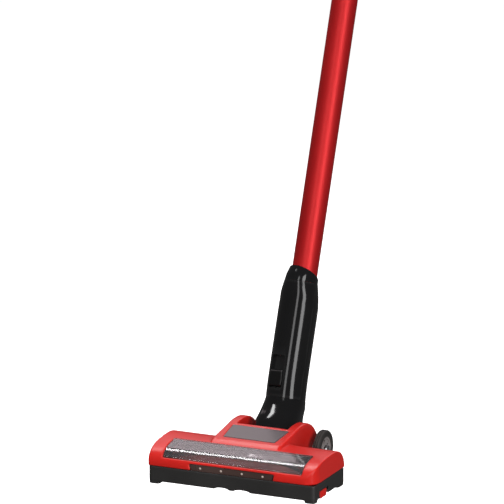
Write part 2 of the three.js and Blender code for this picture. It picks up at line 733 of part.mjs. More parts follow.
function exhaustCap() {
  const { r, s1, capTop } = HOUSING;
  const rim = [[0, s1 + GAP], [r, s1 + GAP], [r, s1 + 8]];
  const dome = turned([...rim, [r - 6, capTop - 3], [r - 14, capTop], [0, capTop]], 0, BIN.y, 32);
  const inside = [[0, s1 - 1], [r - 5, s1 - 1], [r - 10, capTop - 5], [0, capTop - 5]];
  const slots = Array.from({ length: 8 }, (_, k) =>
    box(r - 24, r - 9, -2, 2, s1 + 9, capTop + 2)
      .rotateZ(((k + 1) * Math.PI * 2) / 9 + Math.PI / 2)
      .translate(0, BIN.y, 0),
  );
  return cut(dome, ...slots, turned(inside, 0, BIN.y));
}

function impeller() {
  const blades = Array.from({ length: 7 }, (_, k) =>
    box(6, 27, -0.9, 0.9, 950.6, 956).rotateZ((2 * Math.PI * k) / 7),
  );
  const hub = turned([[0, 950], [4, 950], [8, 953], [27, 956], [27, 957.4], [0, 957.4]], 0, 0, 18);
  return join(hub, ...blades).translate([0, BIN.y, 0]);
}

function batteryCells() {
  const cells = Array.from({ length: 3 }, (_, k) => cylinderX(9, -18.6, 18.6, 47 + 18.6 * k, 840, 8));
  return join(...cells, box(-18, 18, 47, 85, 838, 842));
}

function buildHandUnit(unit) {
  piece(unit, "inlet_socket", BLACK, inletSocket());
  piece(unit, "body_left", RED, bodyShell(-1));
  piece(unit, "body_right", RED, bodyShell(1));
  piece(unit, "dust_bin", CLEAR, dustBin());
  piece(unit, "bin_flap", BLACK, binFlap());
  piece(unit, "flap_pin", STEEL, cylinderX(1.3, -13.4, 13.4, BIN.y - BIN.r - 2.4, BIN.s0 + 2.4, 5));
  const latch = pad(BIN.y - 7, BIN.y + 7, 806, 832, 2);
  piece(unit, "flap_latch", RED, alongX(latch, BIN.r + GAP, BIN.r + 4, 0, 3));
  piece(unit, "mesh_screen", STEEL, meshScreen());
  piece(unit, "motor_housing", RED, motorHousing());
  piece(unit, "exhaust_cap", BLACK, exhaustCap());
  piece(unit, "motor_filter", FILTER, alongZ(disc(0, BIN.y, 42.6), 930, 946, 0, 14));
  piece(unit, "fan_impeller", CHARCOAL, impeller());
  piece(unit, "suction_motor", STEEL, alongZ(disc(0, BIN.y, 29), 960, 1000, 3, 10));
  piece(unit, "control_board", BOARD, box(-18, 18, -12, 20, 1012, 1013.6));
  piece(unit, "power_trigger", BLACK, box(-7, 7, 54, 68, 932, 966));
  piece(unit, "mode_button", GREY, cylinderZ(6.2, 1017, 1027, 0, 10, 8));
  piece(unit, "wand_button", RED, box(-7, 7, -25.6, -22, 783, 803));
  piece(unit, "grip_pad", RUBBER, gripPad());
  buildBattery(unit);
}

// A soft pad on the back of the grip.
function gripPad() {
  const outline = polygon([[99.6, 896.6], [102.6, 897.4], [87, 990], [84, 989.4]]);
  return alongX(outline, -13, 13);
}

function buildBattery(unit) {
  const case_ = cut(box(-21, 21, 32, 100, 822, 857), box(-19, 19, 34.6, 97.4, 825, 860));
  piece(unit, "battery_case", CHARCOAL, cut(case_, box(-9.4, 9.4, 97, 101, 836, 852)));
  piece(unit, "battery_lid", CHARCOAL, box(-21, 21, 32, 100, 857.3, 862));
  piece(unit, "battery_cells", STEEL, batteryCells());
  piece(unit, "battery_button", RED, box(-9, 9, 99, 103, 836.4, 851.6));
}

// ---- The whole machine -----------------------------------------------------------------------
const lean = THREE.MathUtils.degToRad(LEAN_DEG);
const machine = new THREE.Group();
buildHead(machine);
const upper = new THREE.Group();
upper.position.set(0, PIVOT.y, PIVOT.z);
upper.rotation.x = -lean;
buildNeck(upper);
buildHandUnit(upper);
machine.add(upper);

// The origin is the middle of the hand grip, where the machine is held.
const grip = new THREE.Vector3(0, GRIP.y, GRIP.s).applyAxisAngle(X, -lean);
machine.position.set(0, -PIVOT.y - grip.y, -PIVOT.z - grip.z);
const vacuum = new THREE.Group();
vacuum.add(machine);

export default vacuum;
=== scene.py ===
"""The looks of a cordless upright vacuum cleaner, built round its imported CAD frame.

Outlines are in millimetres. The floor head is laid out from the middle of its front face on the
floor; the neck, wand and hand unit are laid out along the neck's own axis from the recline pivot.
"""

import json
import math

import bmesh
import bpy
from mathutils import Matrix, Vector


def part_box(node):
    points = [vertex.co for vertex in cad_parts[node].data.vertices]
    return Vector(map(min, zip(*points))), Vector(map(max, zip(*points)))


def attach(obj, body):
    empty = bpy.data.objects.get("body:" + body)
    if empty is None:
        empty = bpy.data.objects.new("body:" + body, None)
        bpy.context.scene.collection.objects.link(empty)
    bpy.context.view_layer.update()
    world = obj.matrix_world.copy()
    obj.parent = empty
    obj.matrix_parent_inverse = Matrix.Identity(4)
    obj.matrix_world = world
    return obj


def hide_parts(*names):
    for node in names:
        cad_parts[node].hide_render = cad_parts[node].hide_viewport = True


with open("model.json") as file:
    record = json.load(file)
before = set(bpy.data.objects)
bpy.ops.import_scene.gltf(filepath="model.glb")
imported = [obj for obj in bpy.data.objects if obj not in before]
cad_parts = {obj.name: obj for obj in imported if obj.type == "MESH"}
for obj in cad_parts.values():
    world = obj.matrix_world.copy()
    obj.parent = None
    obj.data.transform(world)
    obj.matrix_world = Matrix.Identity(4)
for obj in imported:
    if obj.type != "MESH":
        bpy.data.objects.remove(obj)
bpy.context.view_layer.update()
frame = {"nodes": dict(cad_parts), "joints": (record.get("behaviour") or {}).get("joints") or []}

# ---- Places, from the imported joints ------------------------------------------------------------
JOINTS = {j["name"]: j for j in frame["joints"]}
PIVOT = Vector(JOINTS["head_recline"]["pos_m"])
LEAN_AXIS = Vector(JOINTS["neck_swivel"]["axis"])
LEAN = math.atan2(LEAN_AXIS.y, LEAN_AXIS.z)
MM = Matrix.Scale(0.001, 4)
PIVOT_Y, PIVOT_Z = 158, 26
HEAD = Matrix.Translation(PIVOT - Vector((0, PIVOT_Y, PIVOT_Z)) * 0.001) @ MM
NECK = Matrix.Translation(PIVOT) @ Matrix.Rotation(-LEAN, 4, "X") @ MM

# ---- Camera ------------------------------------------------------------------------------------
AZIMUTH, ELEVATION, DISTANCE = math.radians(24), math.radians(15.6), 11.06
TARGET = HEAD @ Vector((-9.6, 89.6, 307.2))
LENS = 600
toward_camera = Vector((
    math.sin(AZIMUTH) * math.cos(ELEVATION),
    -math.cos(AZIMUTH) * math.cos(ELEVATION),
    math.sin(ELEVATION),
))
camera = bpy.data.objects.new("camera", bpy.data.cameras.new("camera"))
camera.data.lens = LENS
camera.data.sensor_width = 36
camera.data.clip_end = 100
camera.location = TARGET + toward_camera * DISTANCE
camera.rotation_mode = "QUATERNION"
camera.rotation_quaternion = (-toward_camera).to_track_quat("-Z", "Y")
bpy.context.collection.objects.link(camera)
bpy.context.scene.camera = camera
bpy.context.scene.view_settings.view_transform = "Standard"


# ---- Mesh helpers ------------------------------------------------------------------------------
class Outline(list):
    """The corners of a closed outline, added one stretch at a time."""

    def __init__(self, *start):
        super().__init__([tuple(start)])

    def line(self, *points):
        self.extend(points)
        return self

    def bezier(self, a, b, end, steps=14):
        start = self[-1]
        for i in range(1, steps + 1):
            t = i / steps
            s = 1 - t
            w = (s**3, 3 * s * s * t, 3 * s * t * t, t**3)
            self.append(tuple(
                w[0] * start[k] + w[1] * a[k] + w[2] * b[k] + w[3] * end[k] for k in (0, 1)
            ))
        return self

    def quad(self, c, end, steps=10):
        start = self[-1]
        a = tuple(start[k] + (c[k] - start[k]) * 2 / 3 for k in (0, 1))
        b = tuple(end[k] + (c[k] - end[k]) * 2 / 3 for k in (0, 1))
        return self.bezier(a, b, end, steps)


def circle(u, v, r, steps=48):
    """The corners of a round outline."""
    turn = 2 * math.pi / steps
    return [(u + r * math.cos(k * turn), v + r * math.sin(k * turn)) for k in range(steps)]


def pad(u0, u1, v0, v1, r, steps=6):
    """A rectangle with rounded corners."""
    points = []
    corners = ((u1 - r, v0 + r, -90), (u1 - r, v1 - r, 0), (u0 + r, v1 - r, 90), (u0 + r, v0 + r, 180))
    for u, v, start in corners:
        for i in range(steps + 1):
            a = math.radians(start + 90 * i / steps)
            points.append((u + r * math.cos(a), v + r * math.sin(a)))
    return points


def mesh(name, points, faces, place):
    """A new object, with its points in millimetres laid out in the given place."""
    data = bpy.data.meshes.new(name)
    data.from_pydata([place @ Vector(p) for p in points], [], faces)
    work = bmesh.new()
    work.from_mesh(data)
    bmesh.ops.remove_doubles(work, verts=work.verts, dist=2e-6)
    bmesh.ops.dissolve_degenerate(work, edges=work.edges, dist=1e-6)
    bmesh.ops.recalc_face_normals(work, faces=work.faces)
    work.to_mesh(data)
    work.free()
    obj = bpy.data.objects.new(name, data)
    bpy.context.collection.objects.link(obj)
    return obj


def loft(name, rings, place):
    """Rings of points joined in order and closed at both ends."""
    n = len(rings[0])
    points = [p for ring in rings for p in ring]
    faces = [
        (i * n + k, i * n + (k + 1) % n, (i + 1) * n + (k + 1) % n, (i + 1) * n + k)
        for i in range(len(rings) - 1)
        for k in range(n)
    ]
    faces.append(tuple(reversed(range(n))))
    faces.append(tuple(range((len(rings) - 1) * n, len(rings) * n)))
    return mesh(name, points, faces, place)


AXES = {
    "x": lambda u, v, w: (w, u, v),
    "y": lambda u, v, w: (u, w, v),
    "z": lambda u, v, w: (u, v, w),
}


def prism(name, outline, low, high, axis, place):
    """An outline swept along an axis. It is drawn in (y, z) for x, (x, z) for y, (x, y) for z."""
    at = AXES[axis]
    return loft(name, [[at(u, v, w) for u, v in outline] for w in (low, high)], place)


def block(x0, x1, y0, y1, z0, z1, place):
    """A box, used to cut or to build up other pieces."""
    return prism("tool", [(x0, y0), (x1, y0), (x1, y1), (x0, y1)], z0, z1, "z", place)


def rod(r, low, high, axis, u, v, place, steps=48, name="tool"):
    """A round bar along an axis, through (u, v)."""
    return prism(name, circle(u, v, r, steps), low, high, axis, place)


def lathe(name, profile, axis, u, v, place, steps=96):
    """A closed profile of (radius, height) turned about an axis through (u, v)."""
    at = AXES[axis]
    turn = 2 * math.pi / steps
    points = [
        at(u + r * math.cos(k * turn), v + r * math.sin(k * turn), w)
        for r, w in profile
        for k in range(steps)
    ]
    n = len(profile)
    faces = [
        (i * steps + k, i * steps + (k + 1) % steps, (i + 1) % n * steps + (k + 1) % steps,
         (i + 1) % n * steps + k)
        for i in range(n)
        for k in range(steps)
    ]
    return mesh(name, points, faces, place)


def ball(x, y, z, rx, ry, rz, place, name="tool", steps=48):
    """An ellipsoid."""
    half = steps // 2
    rings = []
    for i in range(half + 1):
        a = math.pi * i / half
        rings.append([
            (x + rx * math.sin(a) * math.cos(2 * math.pi * k / steps),
             y + ry * math.sin(a) * math.sin(2 * math.pi * k / steps),
             z - rz * math.cos(a))
            for k in range(steps)
        ])
    return loft(name, rings, place)


def bake(obj):
    """Applies the object's modifiers."""
    graph = bpy.context.evaluated_depsgraph_get()
    data = bpy.data.meshes.new_from_object(obj.evaluated_get(graph))
    obj.modifiers.clear()
    old, obj.data = obj.data, data
    bpy.data.meshes.remove(old)
    return obj


def carve(obj, *tools, how="DIFFERENCE"):
    """Cuts the tools out of the object, and deletes them."""
    for tool in tools:
        step = obj.modifiers.new("carve", "BOOLEAN")
        step.operation, step.object, step.solver = how, tool, "MANIFOLD"
        bake(obj)
        bpy.data.objects.remove(tool)
    return obj


def weld(obj, *others):
    """Joins the others to the object as one skin."""
    return carve(obj, *others, how="UNION")


def rounded(obj, width, segments=3, angle=38, sharp=40):
    """Rounds the object's hard edges and shades it smooth."""
    step = obj.modifiers.new("edges", "BEVEL")
    step.width, step.segments = width * 0.001, segments
    step.limit_method, step.angle_limit = "ANGLE", math.radians(angle)
    step.use_clamp_overlap, step.miter_outer = True, "MITER_ARC"
    bake(obj)
    obj.data.shade_smooth()
    obj.data.set_sharp_from_angle(angle=math.radians(sharp))
    weights = obj.modifiers.new("normals", "WEIGHTED_NORMAL")
    weights.keep_sharp, weights.weight = True, 100
    return bake(obj)


def moulded(obj, voxel, passes=5):
    """Remeshes the object evenly, so that all its edges come out softly rounded."""
    skin = obj.modifiers.new("skin", "REMESH")
    skin.mode, skin.voxel_size, skin.use_smooth_shade = "VOXEL", voxel * 0.001, True
    smooth = obj.modifiers.new("smooth", "SMOOTH")
    smooth.factor, smooth.iterations = 0.5, passes
    return bake(obj)


def joined(name, objects):
    """One object made of several, which may overlap."""
    work = bmesh.new()
    for o in objects:
        work.from_mesh(o.data)
    data = bpy.data.meshes.new(name)
    work.to_mesh(data)
    work.free()
    for o in objects:
        bpy.data.objects.remove(o)
    obj = bpy.data.objects.new(name, data)
    bpy.context.collection.objects.link(obj)
    return obj


def fit(obj, body, slot, material, *nodes):
    """Gives a finished piece its material and its place on the machine."""
    obj.data.materials.clear()
    obj.data.materials.append(material)
    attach(obj, body)
    if nodes:
        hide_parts(*nodes)
    return obj


# ---- Materials ---------------------------------------------------------------------------------
def finish(name, colour, rough, metal=0.0, mottle=0.05, grain=3000, depth=0.04, spread=0.08,
           wear=0.0, worn=(0.5, 0.5, 0.5), **sockets):
    """A moulded, painted or bare surface: faint blotches, fine grain and lighter worn edges."""
    m = bpy.data.materials.new(name)
    m.use_nodes = True
    nodes, links = m.node_tree.nodes, m.node_tree.links
    shader = nodes["Principled BSDF"]
    shader.inputs["Metallic"].default_value = metal
    for key, value in sockets.items():
        shader.inputs[key.replace("_", " ")].default_value = value
    where = nodes.new("ShaderNodeTexCoord")

    def noise(scale, detail):
        n = nodes.new("ShaderNodeTexNoise")
        n.inputs["Scale"].default_value = scale
        n.inputs["Detail"].default_value = detail
        links.new(where.outputs["Object"], n.inputs["Vector"])
        return n.outputs["Fac"]

    def ranged(value, low, high, floor=0.0, top=1.0):
        n = nodes.new("ShaderNodeMapRange")
        n.inputs["From Min"].default_value = floor
        n.inputs["From Max"].default_value = top
        n.inputs["To Min"].default_value = low
        n.inputs["To Max"].default_value = high
        links.new(value, n.inputs["Value"])
        return n.outputs["Result"]

    def mixed(factor, a, b):
        n = nodes.new("ShaderNodeMix")
        n.data_type = "RGBA"
        links.new(factor, n.inputs["Factor"])
        for socket, value in (("A", a), ("B", b)):
            target = next(s for s in n.inputs if s.name == socket and s.type == "RGBA")
            if isinstance(value, tuple):
                target.default_value = (*value, 1)
            else:
                links.new(value, target)
        return next(s for s in n.outputs if s.type == "RGBA")

    blotch = noise(14, 3)
    fine = noise(grain, 2)
    dark = tuple(c * (1 - mottle) for c in colour)
    light = tuple(min(1, c * (1 + mottle)) for c in colour)
    colour_now = mixed(ranged(blotch, 0, 1, 0.35, 0.65), dark, light)
    if wear:
        edge = nodes.new("ShaderNodeNewGeometry").outputs["Pointiness"]
        colour_now = mixed(ranged(edge, 0, wear, 0.53, 0.62), colour_now, worn)
    links.new(colour_now, shader.inputs["Base Color"])
    links.new(ranged(blotch, rough - spread / 2, rough + spread / 2, 0.3, 0.7), shader.inputs["Roughness"])
    bump = nodes.new("ShaderNodeBump")
    bump.inputs["Strength"].default_value = depth
    bump.inputs["Distance"].default_value = 0.0002
    links.new(fine, bump.inputs["Height"])
    links.new(bump.outputs["Normal"], shader.inputs["Normal"])
    return m


RED = finish("red_moulding", (0.58, 0.014, 0.01), 0.34, mottle=0.05, depth=0.03, wear=0.2,
             worn=(0.7, 0.09, 0.06), Specular_IOR_Level=0.35, Coat_Weight=0.12, Coat_Roughness=0.18)
CHARCOAL = finish("charcoal_moulding", (0.021, 0.02, 0.0195), 0.5, mottle=0.12, grain=2400, depth=0.25,
                  wear=0.3, worn=(0.07, 0.068, 0.066))
BLACK = finish("gloss_black", (0.0055, 0.0055, 0.0058), 0.1, mottle=0.1, depth=0.008, spread=0.06,
               wear=0.2, worn=(0.03, 0.03, 0.03))
# The release button: its own black, painted darker than the neck's black as painted shade for the recess it
# sits in.
BUTTON_BLACK_AND_SHADE = finish("button_black_with_painted_shade", (0.003, 0.003, 0.0031), 0.3, mottle=0.1, depth=0.05)
WAND_RED = finish("wand_lacquer", (0.52, 0.011, 0.013), 0.46, metal=0.6, mottle=0.03, depth=0.015,
                  spread=0.05, Coat_Weight=0.04, Coat_Roughness=0.25)
RUBBER = finish("rubber", (0.022, 0.0195, 0.018), 0.72, mottle=0.2, grain=1800, depth=0.35,
                wear=0.4, worn=(0.09, 0.08, 0.075))
GREY = finish("grey_moulding", (0.24, 0.215, 0.21), 0.38, mottle=0.06, depth=0.1)
STEEL = finish("steel", (0.56, 0.56, 0.57), 0.28, metal=1.0, mottle=0.04, depth=0.06)
CLEAR = finish("clear_smoke", (0.78, 0.72, 0.75), 0.05, mottle=0.02, depth=0.004, spread=0.03,
               Transmission_Weight=0.96, IOR=1.49)
COVER = finish("grey_cover", (0.1, 0.083, 0.088), 0.36, mottle=0.12, depth=0.02, spread=0.12,
               Coat_Weight=0.2, Coat_Roughness=0.22)
LIGHT_BAR = finish("light_bar", (0.058, 0.033, 0.028), 0.26, mottle=0.2, depth=0.02, Coat_Weight=0.3)
LED = finish("led_lens", (0.42, 0.34, 0.3), 0.25, mottle=0.03, depth=0.01,
             Emission_Color=(1.0, 0.8, 0.72, 1), Emission_Strength=0.1)
BRISTLE = finish("nylon_bristle", (0.035, 0.031, 0.03), 0.65, mottle=0.35, grain=900, depth=0.3)
DRUM = finish("brush_drum_moulding", (0.2, 0.045, 0.036), 0.45, depth=0.1)
BOARD = finish("circuit_board", (0.02, 0.1, 0.045), 0.4, mottle=0.25, grain=700, depth=0.3)
FOAM = finish("filter_foam", (0.72, 0.69, 0.62), 0.95, mottle=0.1, grain=1200, depth=0.9)

# ---- Floor head --------------------------------------------------------------------------------
HALF_W, DEPTH, SOLE, SPLIT, CREST = 120, 100, 4, 25, 54
ARM_IN, ARM_OUT, POCKET = 36.5, 50, 102
BRUSH_Y, BRUSH_Z, BRUSH_CORE, BRUSH_TIP, BRUSH_HALF = 36, 23.5, 13.5, 22, 99
WINDOW_HALF = 100
WALL = 2.6
WHEEL = 58, 68  # inner and outer faces
AXLE_BORE = 4.3
ROLLER_X, ROLLER_Y, ROLLER_Z, WELL_HALF = 70, 80, 6.8, 11
SIDES = (-1, 1)


def side_name(side):
    return "left" if side < 0 else "right"


def span(side, a, b):
    return min(side * a, side * b), max(side * a, side * b)


def head_outline(inset, bottom):
    """The side view of the wide part of the head."""
    def y(v):
        return inset + v * (DEPTH - 2 * inset) / DEPTH

    def z(v):
        return SPLIT + (v - SPLIT) * (CREST - inset - SPLIT) / (CREST - SPLIT)

    return (
        Outline(y(0), bottom)
        .line((y(0), z(31)))
        .bezier((y(1), z(43)), (y(11), z(50.5)), (y(32), z(52.6)), 18)
        .bezier((y(42), z(53.6)), (y(52), z(CREST)), (y(62), z(CREST)), 8)
        .bezier((y(84), z(CREST)), (y(97), z(47)), (y(DEPTH), SPLIT), 20)
        .line((y(DEPTH), bottom))
    )


def hump_outline(bottom):
    """The side view of the raised middle part, which covers the duct and the yoke."""
    return (
        Outline(42, bottom)
        .line((42, 54), (50, 58.4), (97, 64.6))
        .quad((112, 67.8), (126, 67), 10)
        .bezier((146, 66.8), (163, 57), (172, 40), 16)
        .quad((175, 34), (175, SPLIT), 8)
        .line((175, bottom))
    )


def shell_plan(inset):
    """The shell seen from above: its front right corner is drawn well back."""
    side = HALF_W - inset
    return (
        Outline(-side, inset)
        .line((side - 18, inset))
        .bezier((side - 5, inset + 1), (side - 1, inset + 8), (side, inset + 18), 14)
        .line((side, 180), (-side, 180))
    )


def top_shell():
    """The red cover, with its openings for the window, the duct cover and the lamps."""
    bottom = SPLIT + 0.15
    shell = prism("top_shell_skin", head_outline(0, 8), -HALF_W, HALF_W, "x", HEAD)
    carve(shell, prism("tool", shell_plan(0), 0, 80, "z", HEAD), how="INTERSECT")
    rounded(shell, 2.2, 4, 50)
    hump = rounded(prism("hump", hump_outline(8), -ARM_OUT, ARM_OUT, "x", HEAD), 3, 4, 60)
    weld(shell, hump)
    hollow = prism("tool", head_outline(WALL, 4), -HALF_W + WALL, HALF_W - WALL, "x", HEAD)
    carve(shell, carve(hollow, prism("tool", shell_plan(WALL), 0, 80, "z", HEAD), how="INTERSECT"))
    inner = [(45, 24), (45, 51), (52, 55), (96, 60.6), (99, 60.6), (99, 24)]
    window = [(-2, 37.5), (6.4, 37.5), (13.3, 46), (41.2, 51.5), (41.2, 66), (-2, 66)]
    cover = [(-37.3, 57.7), (37.3, 57.7), (40.6, 97.3), (-40.6, 97.3)]
    plate = [(56.7, 57.2), (98.3, 62.4), (98.3, 75), (56.7, 75)]
    light = [(-58, 20), (58, 20), (61.5, 33.9), (-61.5, 33.9)]
    recess = prism("tool", cover, 50, 80, "z", HEAD)
    carve(recess, prism("tool", plate, -45, 45, "x", HEAD), how="INTERSECT")
    carve(
        shell,
        prism("tool", inner, -46, 46, "x", HEAD),
        block(-130, 130, -10, 190, 0, bottom, HEAD),
        prism("tool", window, -WINDOW_HALF - 0.3, WINDOW_HALF + 0.3, "x", HEAD),
        block(-WINDOW_HALF + 4, WINDOW_HALF - 4, 5, 37, 38, 60, HEAD),
        block(-ARM_IN, ARM_IN, POCKET, 180, 20, 80, HEAD),
        recess,
        prism("tool", light, -5, 7, "y", HEAD),
        rod(AXLE_BORE, -60, 60, "x", PIVOT_Y, PIVOT_Z, HEAD),
        block(-30, 30, 90, 104, 20, 47, HEAD),
    )
    return fit(moulded(shell, 1.0, 4), "head", "red_plastic", RED, "top_shell")


def arch(x, half, height):
    """A shallow notch in the lower edge of the base."""
    return (
        Outline(x - half, SOLE - 4)
        .line((x - half, SOLE))
        .bezier((x - half + 2, SOLE + height), (x + half - 2, SOLE + height), (x + half, SOLE), 14)
        .line((x + half, SOLE - 4))
    )


def base_housing():
    """The dark base, with the brush opening, the pocket for the neck and four feet."""
    top = SPLIT - 0.15
    base = prism("base_skin", pad(-HALF_W, HALF_W, 0, DEPTH, 5, 8), SOLE, top + 6, "z", HEAD)
    rounded(base, 1.2, 3, 60)
    arm = Outline(90, 7).line((160, 7)).quad((175, 9), (175, top + 6), 14).line((90, top + 6))
    weld(base, prism("tool", arm, -ARM_OUT, ARM_OUT, "x", HEAD))
    for side in SIDES:
        for front, back in ((0.5, 14), (80, DEPTH - 0.5)):
            foot = pad(*span(side, 104, HALF_W - 0.3), front, back, 4)
            weld(base, prism("tool", foot, 0.4, SOLE + 2, "z", HEAD))
    carve(
        base,
        block(-130, 130, -10, 190, top, 60, HEAD),
        prism("tool", pad(-117.4, 117.4, 2.6, 97.4, 3.4), SOLE + 4.4, 40, "z", HEAD),
        block(-103, 103, 12, 62, 0, SOLE + 6, HEAD),
        block(-ARM_IN, ARM_IN, POCKET, 190, 0, 30, HEAD),
        prism("tool", arch(-14, 10.5, 3.6), -2, 13, "y", HEAD),
        prism("tool", arch(15, 12, 3.6), -2, 13, "y", HEAD),
        block(-30, 30, 90, 104, 13, 30, HEAD),
        rod(AXLE_BORE, -60, 60, "x", PIVOT_Y, PIVOT_Z, HEAD),
        block(117, 130, 17.7, 47.8, 2, 13.6, HEAD),
        block(-101, 101, 62.8, 65.4, 0, 9, HEAD),
        *(block(side * ROLLER_X - WELL_HALF, side * ROLLER_X + WELL_HALF, ROLLER_Y - 9, ROLLER_Y + 9,
                0, SOLE + 6, HEAD) for side in SIDES),
    )
    return fit(moulded(base, 0.95, 3), "head", "dark_plastic", CHARCOAL, "base_housing")


def base_inside():
    """The roller wells and the ribs that carry the brush's bearings."""
    floor = SOLE + 4.3
    parts = []
    for side in SIDES:
        x = side * ROLLER_X
        well = block(x - 13, x + 13, ROLLER_Y - 11, ROLLER_Y + 11, floor, floor + 6.8, HEAD)
        hollow = block(x - WELL_HALF, x + WELL_HALF, ROLLER_Y - 9, ROLLER_Y + 9, 0, floor + 5.2, HEAD)
        parts.append(carve(well, hollow))
    for x in (-106, 102):
        rib = block(x, x + 3.6, 10, 64, floor, SPLIT - 0.2, HEAD)
        carve(rib, rod(8.4, x - 1, x + 5, "x", BRUSH_Y, BRUSH_Z, HEAD),
              block(x - 1, x + 5, BRUSH_Y - 8.4, BRUSH_Y + 8.4, BRUSH_Z, 40, HEAD))
        parts.append(rib)
    return fit(rounded(joined("base_ribs", parts), 0.4, 2), "head", "dark_plastic", CHARCOAL)


def window():
    """The clear bent window over the brush."""
    sheet = (
        Outline(4, 38.8)
        .line((7.4, 43.1))
        .quad((11.2, 48.2), (17.4, 49.5), 10)
        .line((40.6, 54.1), (40.9, 51.9), (17.6, 47.3))
        .quad((12.9, 46.4), (10, 42.8), 8)
        .line((6, 37.9))
    )
    pane = rounded(prism("window_pane", sheet, -WINDOW_HALF, WINDOW_HALF, "x", HEAD), 0.45, 2, 30)
    return fit(pane, "head", "clear_smoke", CLEAR, "brush_window")


def duct_cover():
    """The grey plate on the raised middle part."""
    outline = [(-37, 58), (37, 58), (40.3, 97), (-40.3, 97)]
    plate = [(50, 56.8), (105, 63.8), (105, 65.7), (50, 58.7)]
    cover = prism("duct_cover_plate", outline, 50, 80, "z", HEAD)
    carve(cover, prism("tool", plate, -45, 45, "x", HEAD), how="INTERSECT")
    return fit(rounded(cover, 0.7, 3), "head", "grey_cover", COVER, "duct_cover")


def light_strip():
    """The dark strip in the front face, with four small lamps."""
    outline = [(-57.5, 25.4), (57.5, 25.4), (60.6, 33.5), (-60.6, 33.5)]
    bar = rounded(prism("light_bar", outline, 0.8, 3, "y", HEAD), 0.4, 2)
    fit(bar, "head", "grey_cover", LIGHT_BAR, "light_strip")
    lamps = [
        ball(x, 0.9, 29.4, 1.5, 0.8, 1.5, HEAD, "led", 20) for x in (-45, -15, 15, 45)
    ]
    lamps = joined("led_lenses", lamps)
    lamps.data.shade_smooth()
    fit(lamps, "head", "grey_cover", LED)


def brush():
    """The drum on its shaft, with two rows of bristle."""
    core = [(0, -BRUSH_HALF), (BRUSH_CORE - 0.6, -BRUSH_HALF), (BRUSH_CORE, -BRUSH_HALF + 0.6),
            (BRUSH_CORE, BRUSH_HALF - 0.6), (BRUSH_CORE - 0.6, BRUSH_HALF), (0, BRUSH_HALF)]
    core = lathe("brush_drum", core, "x", BRUSH_Y, BRUSH_Z, HEAD, 64)
    shaft = lathe("shaft", [(0, -113), (4, -113), (4, 114), (0, 114)], "x", BRUSH_Y, BRUSH_Z, HEAD, 32)
    rounded(weld(core, shaft), 0.3, 2)
    fit(core, "brush", "dark_plastic", DRUM, "brush_core")
    first, turn = 0.6, 1.9
    for row in (1, 2):
        tufts = tuft_row(f"bristles_{row}", first + math.pi * (row - 1), turn)
        fit(tufts, "brush", "bristle", BRISTLE, f"bristle_row_{row}")


def tuft_row(name, start, turn):
    """Tufts of bristle along one V-shaped row, each a small bundle that fans out to its tip."""
    points, faces = [], []
    pitch, strands = 2.1, 7
    count = int((2 * BRUSH_HALF - 2) / pitch)
    for i in range(count):
        x0 = -BRUSH_HALF + 1.5 + i * pitch
        angle0 = start + turn * abs(x0) / BRUSH_HALF
        for s in range(strands):
            ring = 2 * math.pi * s / (strands - 1) if s else 0
            spread = 0.6 if s else 0
            seed = math.sin(i * 12.9898 + s * 78.233) * 43758.5453
            jitter = seed - math.floor(seed) - 0.5
            length = BRUSH_TIP - 0.25 - 0.35 * abs(jitter)
            root = [(BRUSH_CORE - 0.6, spread * 0.6), (length, spread * 1.7)]
            base = len(points)
            for r, off in root:
                dx = off * math.cos(ring) + (jitter * 0.5 if r == length else 0)
                da = off * math.sin(ring) / r
                thick = 0.34 if r != length else 0.2
                for k in range(3):
                    turn_k = 2 * math.pi * k / 3
                    a = angle0 + da + thick * math.sin(turn_k) / r
                    points.append((
                        x0 + dx + thick * math.cos(turn_k),
                        BRUSH_Y + r * math.cos(a),
                        BRUSH_Z + r * math.sin(a),
                    ))
            for k in range(3):
                n = (k + 1) % 3
                faces.append((base + k, base + n, base + 3 + n, base + 3 + k))
            faces.append((base, base + 2, base + 1))
            faces.append((base + 3, base + 4, base + 5))
    return mesh(name, points, faces, HEAD)


def tyre(side):
    """A rubber tyre with two grooves."""
    inner, outer = WHEEL
    rows = [(17.3, inner), (23.6, inner), (25.2, inner + 0.7), (26, inner + 2.2)]
    for k in range(2):
        w = inner + 3.6 + 2.8 * k
        rows += [(26, w - 0.5), (25.2, w - 0.2), (25.2, w + 0.2), (26, w + 0.5)]
    rows += [(26, outer - 2.2), (25.2, outer - 0.7), (23.6, outer), (20.4, outer), (20, outer - 0.4),
             (19.6, outer), (17.3, outer)]
    profile = [(r, side * w) for r, w in rows]
    ring = lathe(f"tyre_{side_name(side)}_rubber", profile, "x", PIVOT_Y, PIVOT_Z, HEAD, 96)
    ring.data.shade_smooth()
    ring.data.set_sharp_from_angle(angle=math.radians(35))
    fit(ring, f"wheel_{side_name(side)}", "rubber", RUBBER, f"tyre_{side_name(side)}")


